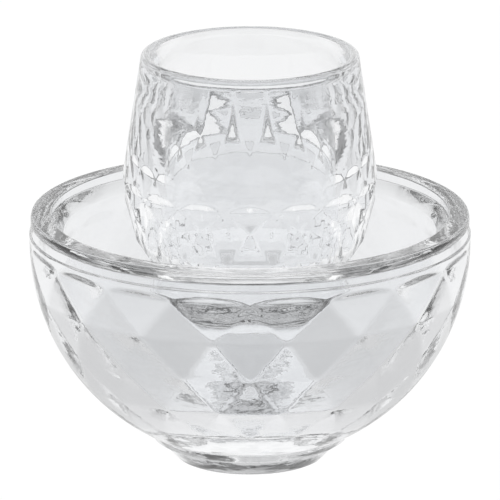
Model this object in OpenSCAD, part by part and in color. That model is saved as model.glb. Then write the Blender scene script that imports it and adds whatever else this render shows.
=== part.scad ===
// Clear glass dish in two pieces: a thick-walled bowl with a faceted inside,
// and a barrel-shaped cup that stands free on the bowl's floor and lifts out.
// The origin is the centre of the bowl's foot, on the surface that it stands on. +Z is up.

/* [Bowl outside] */
// Largest diameter of the bowl
bowl_d = 64.2; // [62:0.2:67]
// Height of the rim above the table
bowl_h = 36.8; // [36:0.2:38]
// Height of the level at which the bowl is widest
bowl_wide_z = 32.6; // [32:0.2:33]
// Diameter of the foot where it meets the table
foot_d = 21.4; // [19:0.2:25]
// Diameter of the foot at its top, in the corner below the round wall
foot_top_d = 26.6; // [25.4:0.2:27]
// Height of the foot
foot_h = 2.9; // [2.6:0.1:3.4]
// Height of the fine bead around the outside, below the rim
bead_z = 33.8; // [33.4:0.1:34.2]

/* [Bowl mouth] */
// Width of the flat ring on top of the rim
rim_w = 2.9; // [2.4:0.1:3.4]
// Depth of the straight step inside the rim ring
step_depth = 1.2; // [0.8:0.1:1.6]
// Width of the sloping ledge below the step
ledge_w = 1.8; // [1.4:0.1:2.2]
// Drop of the sloping ledge
ledge_drop = 1.5; // [1:0.1:2]

/* [Bowl inside] */
// Facets around the inside of the bowl, in every row
bowl_facets = 16; // [12:1:20]
// Wall thickness at the corners of the facets
wall = 5.1; // [4.6:0.1:5.6]
// Height of the bowl's inner floor above the table
floor_z = 7.2; // [6.6:0.2:8]
// Diameter of the bowl's inner floor across its corners
floor_d = 18.3; // [17.9:0.1:20]

/* [Cup body] */
// Height of the cup's lip above the table
cup_top_z = 60.7; // [57:0.1:66]
// Outer diameter of the cup at its lip
lip_d = 31.8; // [30:0.1:33]
// Largest outer diameter of the cup
cup_d = 37; // [36:0.1:38]
// Height of the cup's widest level above the table
cup_wide_z = 42.6; // [42:0.2:44]
// Facets around the outside of the cup, in every row
cup_facets = 16; // [12:1:20]
// Inner diameter of the cup below its flared mouth
cavity_d = 25.8; // [24:0.1:27]
// Height of the cup's inner floor above the table
cavity_floor_z = 30.6; // [29:0.1:33]

/* [Cup base] */
// Diameter of the round part below the facets
base_d = 28.8; // [28:0.1:29.4]
// Height of the cup's rounded underside above the table
underside_z = 21.2; // [20:0.2:22]
// Diameter of the slim stem below the underside
stem_d = 6.4; // [5.4:0.1:8]
// Diameter of the cup's foot, on the floor of the bowl
cup_foot_d = 16.4; // [15:0.2:17]

/* [Hidden] */
$fn = 120;
eps = 0.01;

// Bowl: the outside is a ball above a foot.
bowl_r = bowl_d / 2;
rim_r = sqrt(pow(bowl_r, 2) - pow(bowl_h - bowl_wide_z, 2));
step_r = rim_r - rim_w;
mouth_r = step_r - ledge_w;
step_z = bowl_h - step_depth;
ledge_z = step_z - ledge_drop;
rim_round = 0.55;
bead_r = 0.35;
bead_out = 0.03;
foot_recess_r = 8.8;
foot_recess_h = 1;
inner_r = bowl_r - wall;
floor_r = floor_d / 2;
arch_z = 31.2;
// Rings of facet corners, from the ledge down to the floor. The top row flares out,
// so that the round mouth cuts it to a line of arches.
bowl_rings = [
    [mouth_r + 0.9, ledge_z - 0.1],
    [mouth_r + 0.05, arch_z],
    [0.97 * inner_r, 25.4],
    [0.863 * inner_r, 19.7],
    [0.722 * inner_r, 14.5],
    [0.544 * inner_r, 10.3],
    [floor_r, floor_z]
];

// Cup: rings of facet corners, from just above the widest level down to the heel.
lip_r = lip_d / 2;
cup_r = cup_d / 2;
base_r = base_d / 2;
lip_round = 0.8;
cone_top_z = cup_top_z - lip_round;
heel_z = 29.7;
belt_top_z = cup_wide_z + 1.2;
cup_rings = [
    [cup_r + 0.2, belt_top_z],
    [cup_r, cup_wide_z - 1],
    [cup_r - 0.3, cup_wide_z - 4],
    [cup_r - 1.7, cup_wide_z - 9.2],
    [base_r + 0.25, heel_z]
];
cavity_r = cavity_d / 2;
cavity_round = 1.6;
mouth_flare = 1.6;
flare_h = 7;
base_round = 4.3;
stem_r = stem_d / 2;
stem_fillet = 1.8;
foot_fillet = 3;
cup_foot_r = cup_foot_d / 2;
cup_foot_edge = 0.9;
// Air left under the cup's foot, so that the two pieces never share a face.
rest_gap = 0.05;
cup_foot_z = floor_z + rest_gap;

// Points of an arc in the profile plane, from angle a to angle b.
function arc(x, z, r, a, b, n = 8) =
    [for (i = [0 : n]) let (t = a + (b - a) * i / n) [x + r * cos(t), z + r * sin(t)]];

// A solid of triangular facets through rings of corners, given from the top down.
// Every other ring is turned by half a facet: the first one if shift is 1, the second if it is 0.
module facet_solid(rings, n, shift) {
    last = len(rings) - 1;
    points = [
        for (k = [0 : last], i = [0 : n - 1])
            let (a = (i + ((k + shift) % 2) / 2) * 360 / n)
            [rings[k][0] * cos(a), rings[k][0] * sin(a), rings[k][1]]
    ];
    sides = [
        for (k = [0 : last - 1], i = [0 : n - 1])
            let (
                j = (i + 1) % n,
                a = k * n + i,
                b = k * n + j,
                c = (k + 1) * n + i,
                d = (k + 1) * n + j
            )
            each ((k + shift) % 2 == 0 ? [[a, b, c], [b, d, c]] : [[a, d, c], [a, b, d]])
    ];
    top = [for (i = [n - 1 : -1 : 0]) i];
    bottom = [for (i = [0 : n - 1]) last * n + i];
    polyhedron(points = points, faces = concat([top], sides, [bottom]));
}

// Cutter that rounds the outer top edge of a round part.
module edge_cutter(r, z, round) {
    rotate_extrude() translate([r - round, z - round]) difference() {
        square(round + 1);
        circle(r = round, $fn = 48);
    }
}

module bowl_outside() {
    intersection() {
        translate([0, 0, bowl_wide_z]) sphere(r = bowl_r);
        translate([0, 0, foot_h - eps]) cylinder(r = bowl_r + 1, h = bowl_h - foot_h + eps);
    }
    cylinder(r1 = foot_d / 2, r2 = foot_top_d / 2, h = foot_h);
    rotate_extrude() translate([bowl_r + bead_out - bead_r, bead_z]) circle(r = bead_r, $fn = 24);
}

module bowl_inside() {
    intersection() {
        facet_solid(bowl_rings, bowl_facets, 1);
        cylinder(r = mouth_r, h = bowl_h);
    }
    translate([0, 0, ledge_z - 1]) cylinder(r = mouth_r, h = 1 + eps);
    translate([0, 0, ledge_z]) cylinder(r1 = mouth_r, r2 = step_r, h = ledge_drop);
    translate([0, 0, step_z - eps]) cylinder(r = step_r, h = step_depth + 1);
}

module bowl() {
    color("lightcyan", 0.5) difference() {
        bowl_outside();
        bowl_inside();
        edge_cutter(rim_r + 0.05, bowl_h, rim_round);
        translate([0, 0, -eps]) cylinder(r1 = foot_recess_r, r2 = foot_recess_r - 1, h = foot_recess_h);
    }
}

// Smooth skin of the cup's upper part: a cone above the widest level, with a round lip.
module cup_skin() {
    rotate_extrude() polygon(concat(
        [[0, heel_z], [cup_r, heel_z], [cup_r, cup_wide_z]],
        arc(lip_r - lip_round, cone_top_z, lip_round, 0, 90),
        [[0, cup_top_z]]
    ));
}

// Solid round base, slim stem and thin foot, all below the facets.
module cup_base() {
    rotate_extrude() polygon(concat(
        [[0, heel_z + eps], [base_r, heel_z + eps]],
        arc(base_r - base_round, underside_z + base_round, base_round, 0, -90),
        arc(stem_r + stem_fillet, underside_z - stem_fillet, stem_fillet, 90, 180),
        arc(stem_r + foot_fillet, cup_foot_z + cup_foot_edge + foot_fillet, foot_fillet, 180, 270),
        arc(cup_foot_r - cup_foot_edge / 2, cup_foot_z + cup_foot_edge / 2, cup_foot_edge / 2, 90, -90),
        [[0, cup_foot_z]]
    ));
}

module cup_cavity() {
    rotate_extrude() polygon(concat(
        [[0, cup_top_z + 1]],
        [[cavity_r + mouth_flare + 0.3, cup_top_z + 1], [cavity_r + mouth_flare, cone_top_z]],
        [[cavity_r + 0.4, cone_top_z - flare_h / 2], [cavity_r, cone_top_z - flare_h]],
        arc(cavity_r - cavity_round, cavity_floor_z + cavity_round, cavity_round, 0, -90),
        [[0, cavity_floor_z]]
    ));
}

module inner_cup() {
    color("azure", 0.5) difference() {
        union() {
            intersection() {
                cup_skin();
                union() {
                    facet_solid(cup_rings, cup_facets, 0);
                    translate([0, 0, belt_top_z - 0.1]) cylinder(r = cup_r, h = cup_top_z);
                }
            }
            cup_base();
        }
        cup_cavity();
    }
}

bowl();
inner_cup();
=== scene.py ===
"""Clear glass dish on a pale floor: a faceted bowl and the barrel-shaped cup that stands in it."""
from math import cos, pi, radians, sin, sqrt

import bpy
import numpy as np
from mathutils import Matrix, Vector


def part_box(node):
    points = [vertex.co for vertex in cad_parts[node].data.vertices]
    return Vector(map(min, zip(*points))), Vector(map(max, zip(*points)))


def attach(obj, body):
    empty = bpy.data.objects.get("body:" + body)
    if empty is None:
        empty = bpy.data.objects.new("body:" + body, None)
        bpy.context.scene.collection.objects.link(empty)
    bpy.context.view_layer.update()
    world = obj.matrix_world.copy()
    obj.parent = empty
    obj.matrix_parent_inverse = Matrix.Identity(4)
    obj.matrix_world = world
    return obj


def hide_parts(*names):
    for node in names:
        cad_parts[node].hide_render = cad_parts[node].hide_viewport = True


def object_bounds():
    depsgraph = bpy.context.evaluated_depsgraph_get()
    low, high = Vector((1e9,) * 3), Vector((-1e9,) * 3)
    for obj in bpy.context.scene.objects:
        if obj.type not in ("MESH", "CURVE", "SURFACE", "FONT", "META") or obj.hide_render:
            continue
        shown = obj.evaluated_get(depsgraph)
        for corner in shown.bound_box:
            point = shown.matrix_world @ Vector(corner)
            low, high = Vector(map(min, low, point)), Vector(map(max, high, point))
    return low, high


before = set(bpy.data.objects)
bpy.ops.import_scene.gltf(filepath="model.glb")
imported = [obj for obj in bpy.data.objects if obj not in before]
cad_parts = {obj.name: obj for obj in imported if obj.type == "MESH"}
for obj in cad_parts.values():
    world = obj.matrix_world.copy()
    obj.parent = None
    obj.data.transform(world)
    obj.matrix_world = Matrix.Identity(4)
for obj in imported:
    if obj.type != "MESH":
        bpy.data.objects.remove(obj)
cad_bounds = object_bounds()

MM = 0.001
AROUND = 384             # points in every ring of a round piece
FACETS = 16              # facets around, inside the bowl and outside the cup
LEAST_FACING = 0.05      # a facet is left out where it is turned further away than this cosine


# ---------------------------------------------------------------- round meshes

def arc(r, z, radius, start, end, steps=8):
    """Points of an arc in the profile plane, from one angle to another, in degrees."""
    angles = np.radians(np.linspace(start, end, steps + 1))
    return [(r + radius * cos(a), z + radius * sin(a)) for a in angles]


def softened(corners, steps=4):
    """A profile through corners (r, z, rounding), with each corner replaced by a short curve."""
    points = []
    for i, (r, z, rounding) in enumerate(corners):
        here = Vector((r, z))
        if rounding == 0 or i in (0, len(corners) - 1):
            points.append((r, z))
            continue
        before = Vector(corners[i - 1][:2]) - here
        after = Vector(corners[i + 1][:2]) - here
        reach = min(rounding, 0.45 * before.length, 0.45 * after.length)
        a, b = here + before.normalized() * reach, here + after.normalized() * reach
        for t in np.linspace(0, 1, steps + 1):
            p = a * (1 - t) ** 2 + here * 2 * t * (1 - t) + b * t ** 2
            points.append((p.x, p.y))
    return points


def around():
    """The azimuth of every point in a ring."""
    return np.arange(AROUND) * 2 * pi / AROUND


def ring(r, z):
    """One ring of points. r and z are numbers, or arrays with a value for each azimuth."""
    phi = around()
    r, z = np.broadcast_to(r, AROUND), np.broadcast_to(z, AROUND)
    return np.stack([r * np.cos(phi), r * np.sin(phi), z], axis=1)


def rings_of(profile):
    return [ring(r, z) for r, z in profile]


def lathe(name, first, rings, last):
    """A closed piece in millimetres: a skin over the rings, from one point on the axis to another."""
    count = len(rings)
    verts = [(0, 0, first)] + [tuple(p) for one in rings for p in one] + [(0, 0, last)]
    end = len(verts) - 1

    def index(k, i):
        return 1 + k * AROUND + i % AROUND

    faces = [(0, index(0, i + 1), index(0, i)) for i in range(AROUND)]
    for k in range(count - 1):
        faces += [
            (index(k, i), index(k, i + 1), index(k + 1, i + 1), index(k + 1, i))
            for i in range(AROUND)]
    faces += [(index(count - 1, i), index(count - 1, i + 1), end) for i in range(AROUND)]
    mesh = bpy.data.meshes.new(name)
    mesh.from_pydata([tuple(c * MM for c in v) for v in verts], [], faces)
    mesh.polygons.foreach_set("use_smooth", [True] * len(mesh.polygons))
    mesh.update()
    piece = bpy.data.objects.new(name, mesh)
    bpy.context.scene.collection.objects.link(piece)
    return piece


# ---------------------------------------------------------------- facets

def row_planes(above, below, turned):
    """Planes (normal, distance) of the triangles in one row, between two rings (radius, height)."""
    step = 2 * pi / FACETS

    def corner(one, place):
        return np.array([one[0] * cos(place * step), one[0] * sin(place * step), one[1]])

    planes = []
    for i in range(FACETS):
        upper, lower = i + turned / 2, i + (1 - turned) / 2
        next_lower = lower if turned == 0 else lower + 1
        next_upper = upper if turned == 1 else upper + 1
        triangles = (
            (corner(above, upper), corner(above, upper + 1), corner(below, next_lower)),
            (corner(below, lower), corner(below, lower + 1), corner(above, next_upper)))
        for a, b, c in triangles:
            normal = np.cross(b - a, c - a)
            normal /= np.linalg.norm(normal)
            if np.dot(normal[:2], a[:2] + b[:2]) < 0:
                normal = -normal
            planes.append((normal, np.dot(normal, a)))
    return planes


def facet_radii(rings, shift, levels):
    """Radius of a faceted skin at each level and azimuth. Rings of corners run from the top down."""
    phi = around()
    grid = np.full((len(levels), AROUND), np.inf)
    for k in range(len(rings) - 1):
        planes = row_planes(rings[k], rings[k + 1], (k + shift) % 2)
        rows = (levels <= rings[k][1]) & (levels >= rings[k + 1][1])
        for normal, distance in planes:
            facing = normal[0] * np.cos(phi) + normal[1] * np.sin(phi)
            reach = (distance - normal[2] * levels[:, None]) / np.maximum(facing, LEAST_FACING)[None, :]
            reach = np.where(facing[None, :] > LEAST_FACING, reach, np.inf)
            grid[rows] = np.minimum(grid[rows], reach[rows])
    return grid


def blurred(grid, times):
    """The grid with its creases softened: each value moves towards its neighbours'."""
    for _ in range(times):
        grid = (np.roll(grid, 1, axis=1) + 2 * grid + np.roll(grid, -1, axis=1)) / 4
        grid[1:-1] = (grid[:-2] + 2 * grid[1:-1] + grid[2:]) / 4
    return grid


# ---------------------------------------------------------------- sizes, in millimetres

(bowl_low, bowl_high), (cup_low, cup_high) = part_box("bowl"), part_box("inner_cup")
BOWL_H = bowl_high[2] / MM
CUP_TOP = cup_high[2] / MM
CUP_FOOT = cup_low[2] / MM

# Bowl outside: a ball above a foot, with a fine bead below the rim.
BOWL_R = 32.1
BOWL_WIDE = 32.6
BEAD_Z = 33.7
FOOT_R = 10.7
FOOT_TOP = (13.25, 2.8)
FOOT_CORNER = (14.2, 3.1)
RECESS_R = 8.8
RECESS_H = 1.0

# Bowl mouth: a flat ring, a step and a sloping ledge.
RIM_R = sqrt(BOWL_R ** 2 - (BOWL_H - BOWL_WIDE) ** 2)
STEP_R = RIM_R - 2.9
MOUTH_R = STEP_R - 1.8
STEP_Z = BOWL_H - 1.2
LEDGE_Z = STEP_Z - 1.5

# Bowl inside: rings of facet corners, as shares of the inner radius and heights.
INNER_R = BOWL_R - 5.1
ARCH_Z = 31.2
WALL_RINGS = ((0.97, 25.4), (0.863, 19.7), (0.722, 14.5), (0.544, 10.3))
FLOOR_Z = 7.2
FLOOR_R = 9.15
WALL_LEVELS = 120

# Cup: a smooth cone above a faceted belt, which ends at the heel.
CUP_R = 18.5
CUP_WIDE = 42.6
BELT_TOP = CUP_WIDE + 1.2
BELT_LEVELS = 80
HEEL_Z = 29.7
LIP_R = 15.9
LIP_ROUND = 0.8
CAVITY_R = 12.9
CAVITY_FLOOR = 30.6
CAVITY_ROUND = 1.6

# Cup base: a rounded underside on a stem with a thin foot.
BASE_R = 14.4
BASE_ROUND = 4.3
UNDERSIDE = 21.2
STEM_R = 3.2
STEM_TOP_ROUND = 1.8
STEM_FOOT_ROUND = 3
CUP_FOOT_R = 8.2
CUP_FOOT_EDGE = 0.9


# ---------------------------------------------------------------- the two pieces

def bowl_wall():
    """Rings of the faceted inside, from the ledge down to the floor."""
    corners = [(MOUTH_R + 0.9, LEDGE_Z - 0.1), (MOUTH_R + 0.05, ARCH_Z)]
    corners += [(share * INNER_R, z) for share, z in WALL_RINGS] + [(FLOOR_R, FLOOR_Z)]
    levels = np.linspace(LEDGE_Z, FLOOR_Z + 0.001, WALL_LEVELS)
    radii = np.minimum(facet_radii(corners, 1, levels), MOUTH_R)
    return [ring(r, z) for r, z in zip(blurred(radii, 1), levels)]


def build_bowl():
    """The bowl, from the recess under its foot, up the outside, over the rim and down the inside."""
    foot = softened([
        (RECESS_R - 2.3, RECESS_H, 0), (RECESS_R - 0.9, RECESS_H - 0.05, 0.4), (RECESS_R, 0, 0.35),
        (FOOT_R, 0, 0.5), (*FOOT_TOP, 0.5), (*FOOT_CORNER, 0)])
    start = -np.degrees(np.arccos(FOOT_CORNER[0] / BOWL_R))
    ball = arc(0, BOWL_WIDE, BOWL_R, start + 1, 1, steps=60)
    bead = [
        (BOWL_R, BEAD_Z - 0.4, 0), (BOWL_R + 0.03, BEAD_Z, 0.2), (BOWL_R + 0.01, BEAD_Z + 0.25, 0.15),
        (BOWL_R - 0.2, BEAD_Z + 0.4, 0.2)]
    rim = softened(bead + [
        (RIM_R + 0.1, BOWL_H - 0.6, 0), (RIM_R - 0.05, BOWL_H, 0.5), (STEP_R, BOWL_H, 0.22),
        (STEP_R, STEP_Z, 0.25), (MOUTH_R, LEDGE_Z, 0)])
    rings = rings_of(foot) + rings_of(ball) + rings_of(rim) + bowl_wall()[1:]
    return lathe("bowl_glass", RECESS_H, rings, FLOOR_Z)


def cup_belt(cone_slope):
    """Rings of the faceted belt, from the heel up to where the smooth cone takes over."""
    corners = [
        (CUP_R + 0.2, BELT_TOP), (CUP_R, CUP_WIDE - 1), (CUP_R - 0.3, CUP_WIDE - 4),
        (CUP_R - 1.7, CUP_WIDE - 9.2), (BASE_R + 0.25, HEEL_Z)]
    levels = np.linspace(HEEL_Z + 0.001, BELT_TOP, BELT_LEVELS)
    cone = CUP_R - cone_slope * (levels - CUP_WIDE)
    radii = np.minimum(facet_radii(corners, 0, levels), cone[:, None])
    return [ring(r, z) for r, z in zip(blurred(radii, 1), levels)]


def build_cup():
    """The cup, from its foot, up the outside, over the lip and down into the cavity."""
    cone_top = CUP_TOP - LIP_ROUND
    cone_slope = (CUP_R - LIP_R) / (cone_top - CUP_WIDE)
    edge = CUP_FOOT_EDGE / 2
    foot_top = CUP_FOOT + CUP_FOOT_EDGE
    foot = arc(CUP_FOOT_R - edge, CUP_FOOT + edge, edge, -90, 90)
    stem = arc(STEM_R + STEM_FOOT_ROUND, foot_top + STEM_FOOT_ROUND, STEM_FOOT_ROUND, 270, 180)
    neck = arc(STEM_R + STEM_TOP_ROUND, UNDERSIDE - STEM_TOP_ROUND, STEM_TOP_ROUND, 180, 90)
    base = arc(BASE_R - BASE_ROUND, UNDERSIDE + BASE_ROUND, BASE_ROUND, -90, 0, steps=14)
    heights = np.linspace(BELT_TOP + 0.4, cone_top, 18)
    cone = [(CUP_R - cone_slope * (z - CUP_WIDE), z) for z in heights]
    lip = arc(LIP_R - LIP_ROUND, cone_top, LIP_ROUND, 8, 150, steps=10)
    flare = softened([
        (LIP_R - 2 * LIP_ROUND + 0.1, cone_top - 0.2, 0), (CAVITY_R + 0.9, cone_top - 2.4, 1.5),
        (CAVITY_R + 0.2, cone_top - 6, 2.5), (CAVITY_R, cone_top - 12, 3),
        (CAVITY_R, CAVITY_FLOOR + CAVITY_ROUND + 0.1, 0)], steps=6)
    floor = arc(CAVITY_R - CAVITY_ROUND, CAVITY_FLOOR + CAVITY_ROUND, CAVITY_ROUND, 0, -90)
    rings = rings_of([(3, CUP_FOOT)] + foot + stem + neck + base) + cup_belt(cone_slope)
    rings += rings_of(cone + lip + flare + floor[1:] + [(5, CAVITY_FLOOR)])
    return lathe("cup_glass", CUP_FOOT, rings, CAVITY_FLOOR)


# ---------------------------------------------------------------- materials

# Each piece's lighter and deeper tint, the height of its ripples, and the height where they have faded.
BOWL_GLASS = ((0.93, 0.938, 0.949), (0.898, 0.907, 0.92), 0.00015, 0.017)
CUP_GLASS = ((0.982, 0.987, 0.993), (0.96, 0.966, 0.974), 0.00006, 0.04)
IOR = 1.5
CLOUD_SCALE = 90
POLISH_SCALE = 260
MOST_ROUGH = 0.02
RIPPLE_SCALE = 150
RIPPLE_FLATTER = 3.0
RIPPLE_FOOT = 0.004      # height below which the ripples are full
RIPPLE_LEAST = 0.25      # what is left of them higher up
PULL_SCALE = 1100
PULL_SHARE = 0.05        # height of the fine pull marks, as a share of the ripples

# How light the floor is to the glass, by distance in metres: painted light and shade in the floor's
# glow, a painted pool of light under the foot and a painted shadow of the object around it.
FLOOR_PAINTED_LIGHT_AND_SHADE = ((0, 1.1), (0.012, 1.0), (0.024, 0.62), (0.045, 0.7), (0.075, 0.93), (0.2, 0.95))
# How light the room is on the camera's side, low down behind the object, and above.
ROOM_FRONT = 0.0
ROOM_BACK = 1.05
ROOM_ABOVE = 0.62


def noise(nodes, links, scale, detail=2.0, flatter=1.0):
    """Noise in object space, so that its size is real. Above 1, flatter pulls it out sideways."""
    place = nodes.new("ShaderNodeTexCoord")
    stretch = nodes.new("ShaderNodeMapping")
    stretch.inputs["Scale"].default_value = (1, 1, flatter)
    links.new(place.outputs["Object"], stretch.inputs["Vector"])
    texture = nodes.new("ShaderNodeTexNoise")
    texture.inputs["Scale"].default_value = scale
    texture.inputs["Detail"].default_value = detail
    links.new(stretch.outputs["Vector"], texture.inputs["Vector"])
    return texture


def remap(nodes, links, value, start, end, low, high, smooth=True):
    """The value's start to end as low to high."""
    node = nodes.new("ShaderNodeMapRange")
    node.interpolation_type = "SMOOTHSTEP" if smooth else "LINEAR"
    node.inputs["From Min"].default_value = start
    node.inputs["From Max"].default_value = end
    node.inputs["To Min"].default_value = low
    node.inputs["To Max"].default_value = high
    links.new(value, node.inputs["Value"])
    return node.outputs["Result"]


def cloudy(nodes, links, scale, low, high):
    """A value that drifts between low and high over the surface."""
    source = noise(nodes, links, scale).outputs["Fac"]
    return remap(nodes, links, source, 0.3, 0.7, low, high, smooth=False)


def bump(nodes, links, distance, height):
    node = nodes.new("ShaderNodeBump")
    node.inputs["Strength"].default_value = 1.0
    node.inputs["Distance"].default_value = distance
    links.new(height.outputs["Fac"], node.inputs["Height"])
    return node


def pressed_glass(name, pale, deep, ripple, ripple_top):
    """Clear pressed glass: a faint cool tint that varies, and flat ripples that fade upwards."""
    material = bpy.data.materials.new(name)
    material.use_nodes = True
    nodes, links = material.node_tree.nodes, material.node_tree.links
    shader = nodes["Principled BSDF"]
    shader.inputs["Transmission Weight"].default_value = 1.0
    shader.inputs["IOR"].default_value = IOR

    tint = nodes.new("ShaderNodeMix")
    tint.data_type = "RGBA"
    tint.inputs["A"].default_value = (*pale, 1)
    tint.inputs["B"].default_value = (*deep, 1)
    links.new(cloudy(nodes, links, CLOUD_SCALE, 0, 1), tint.inputs["Factor"])
    links.new(tint.outputs["Result"], shader.inputs["Base Color"])

    links.new(cloudy(nodes, links, POLISH_SCALE, 0.0, MOST_ROUGH), shader.inputs["Roughness"])

    place = nodes.new("ShaderNodeTexCoord")
    axes = nodes.new("ShaderNodeSeparateXYZ")
    links.new(place.outputs["Object"], axes.inputs[0])
    fade = remap(nodes, links, axes.outputs["Z"], RIPPLE_FOOT, ripple_top, 1.0, RIPPLE_LEAST)
    slow = bump(nodes, links, ripple, noise(nodes, links, RIPPLE_SCALE, flatter=RIPPLE_FLATTER))
    links.new(fade, slow.inputs["Strength"])
    fine = bump(nodes, links, ripple * PULL_SHARE, noise(nodes, links, PULL_SCALE))
    links.new(slow.outputs["Normal"], fine.inputs["Normal"])
    links.new(fine.outputs["Normal"], shader.inputs["Normal"])
    return material


def floor_material():
    """White to the camera. To the glass it is pale, with a painted pool of light under the foot and the
    object's soft shadow painted around it.
    """
    material = bpy.data.materials.new("pale_floor")
    material.use_nodes = True
    nodes, links = material.node_tree.nodes, material.node_tree.links
    shader = nodes["Principled BSDF"]
    shader.inputs["Base Color"].default_value = (0.05, 0.05, 0.05, 1)
    shader.inputs["Roughness"].default_value = 0.9
    shader.inputs["Specular IOR Level"].default_value = 0.0
    place = nodes.new("ShaderNodeTexCoord")
    out = nodes.new("ShaderNodeVectorMath")
    out.operation = "LENGTH"
    links.new(place.outputs["Object"], out.inputs[0])
    reach = nodes.new("ShaderNodeMapRange")
    reach.inputs["From Max"].default_value = FLOOR_PAINTED_LIGHT_AND_SHADE[-1][0]
    links.new(out.outputs["Value"], reach.inputs["Value"])
    # Painted shadow of the object in the floor's glow, with a painted pool of light under the foot.
    shade = nodes.new("ShaderNodeValToRGB")
    shade.color_ramp.interpolation = "B_SPLINE"
    links.new(reach.outputs["Result"], shade.inputs["Fac"])
    ramp = shade.color_ramp.elements
    while len(ramp) < len(FLOOR_PAINTED_LIGHT_AND_SHADE):
        ramp.new(0.5)
    for element, (distance, tone) in zip(ramp, FLOOR_PAINTED_LIGHT_AND_SHADE):
        element.position = distance / FLOOR_PAINTED_LIGHT_AND_SHADE[-1][0]
        element.color = (tone, tone, tone, 1)
    # Camera rays see the floor plain white; only the glass sees the painted light and shade.
    rays = nodes.new("ShaderNodeLightPath")
    tone = nodes.new("ShaderNodeMix")
    tone.data_type = "RGBA"
    tone.inputs["B"].default_value = (1, 1, 1, 1)
    links.new(rays.outputs["Is Camera Ray"], tone.inputs["Factor"])
    links.new(shade.outputs["Color"], tone.inputs["A"])
    links.new(tone.outputs["Result"], shader.inputs["Emission Color"])
    shader.inputs["Emission Strength"].default_value = 1.0
    return material


# ---------------------------------------------------------------- floor, light and camera

def build_floor():
    mesh = bpy.data.meshes.new("floor")
    half = 6
    corners = [(-half, -half, 0), (half, -half, 0), (half, half, 0), (-half, half, 0)]
    mesh.from_pydata(corners, [], [(0, 1, 2, 3)])
    floor = bpy.data.objects.new("floor", mesh)
    floor.data.materials.append(floor_material())
    bpy.context.scene.collection.objects.link(floor)


def build_light():
    """A soft room: bright low down behind the object, greyer above, and dark on the camera's side."""
    world = bpy.data.worlds.new("room")
    bpy.context.scene.world = world
    world.use_nodes = True
    nodes, links = world.node_tree.nodes, world.node_tree.links
    place = nodes.new("ShaderNodeTexCoord")
    axes = nodes.new("ShaderNodeSeparateXYZ")
    links.new(place.outputs["Generated"], axes.inputs[0])

    depth = remap(nodes, links, axes.outputs["Y"], -0.55, 0.25, ROOM_FRONT, 1)
    height = remap(nodes, links, axes.outputs["Z"], 0.15, 0.6, ROOM_BACK, ROOM_ABOVE)
    both = nodes.new("ShaderNodeMath")
    both.operation = "MULTIPLY"
    links.new(depth, both.inputs[0])
    links.new(height, both.inputs[1])
    links.new(both.outputs["Value"], nodes["Background"].inputs["Strength"])
    nodes["Background"].inputs["Color"].default_value = (1, 1, 1, 1)


def build_camera():
    width = cad_bounds[1][0] - cad_bounds[0][0]
    span = width * 1.133             # what the picture's width shows at the object
    distance = 1.2
    pitch = radians(16.3)
    aim = Vector((0, 0, 0.031))
    camera = bpy.data.objects.new("camera", bpy.data.cameras.new("camera"))
    bpy.context.scene.collection.objects.link(camera)
    camera.location = aim + Vector((0, -cos(pitch), sin(pitch))) * distance
    camera.rotation_euler = (pi / 2 - pitch, 0, 0)
    camera.data.lens = camera.data.sensor_width * distance / span
    camera.data.clip_start = 0.05
    camera.data.clip_end = 50
    bpy.context.scene.camera = camera


def set_bounces():
    """Light that runs round inside thick glass is followed to the end."""
    cycles = bpy.context.scene.cycles
    cycles.max_bounces = 32
    cycles.glossy_bounces = 32
    cycles.transmission_bounces = 32


bpy.context.scene.view_settings.view_transform = "Standard"
set_bounces()
build_floor()
build_light()
build_camera()

bowl = build_bowl()
bowl.data.materials.append(pressed_glass("bowl_clear", *BOWL_GLASS))
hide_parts("bowl")
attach(bowl, "bowl")

cup = build_cup()
cup.data.materials.append(pressed_glass("cup_clear", *CUP_GLASS))
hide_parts("inner_cup")
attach(cup, "cup")
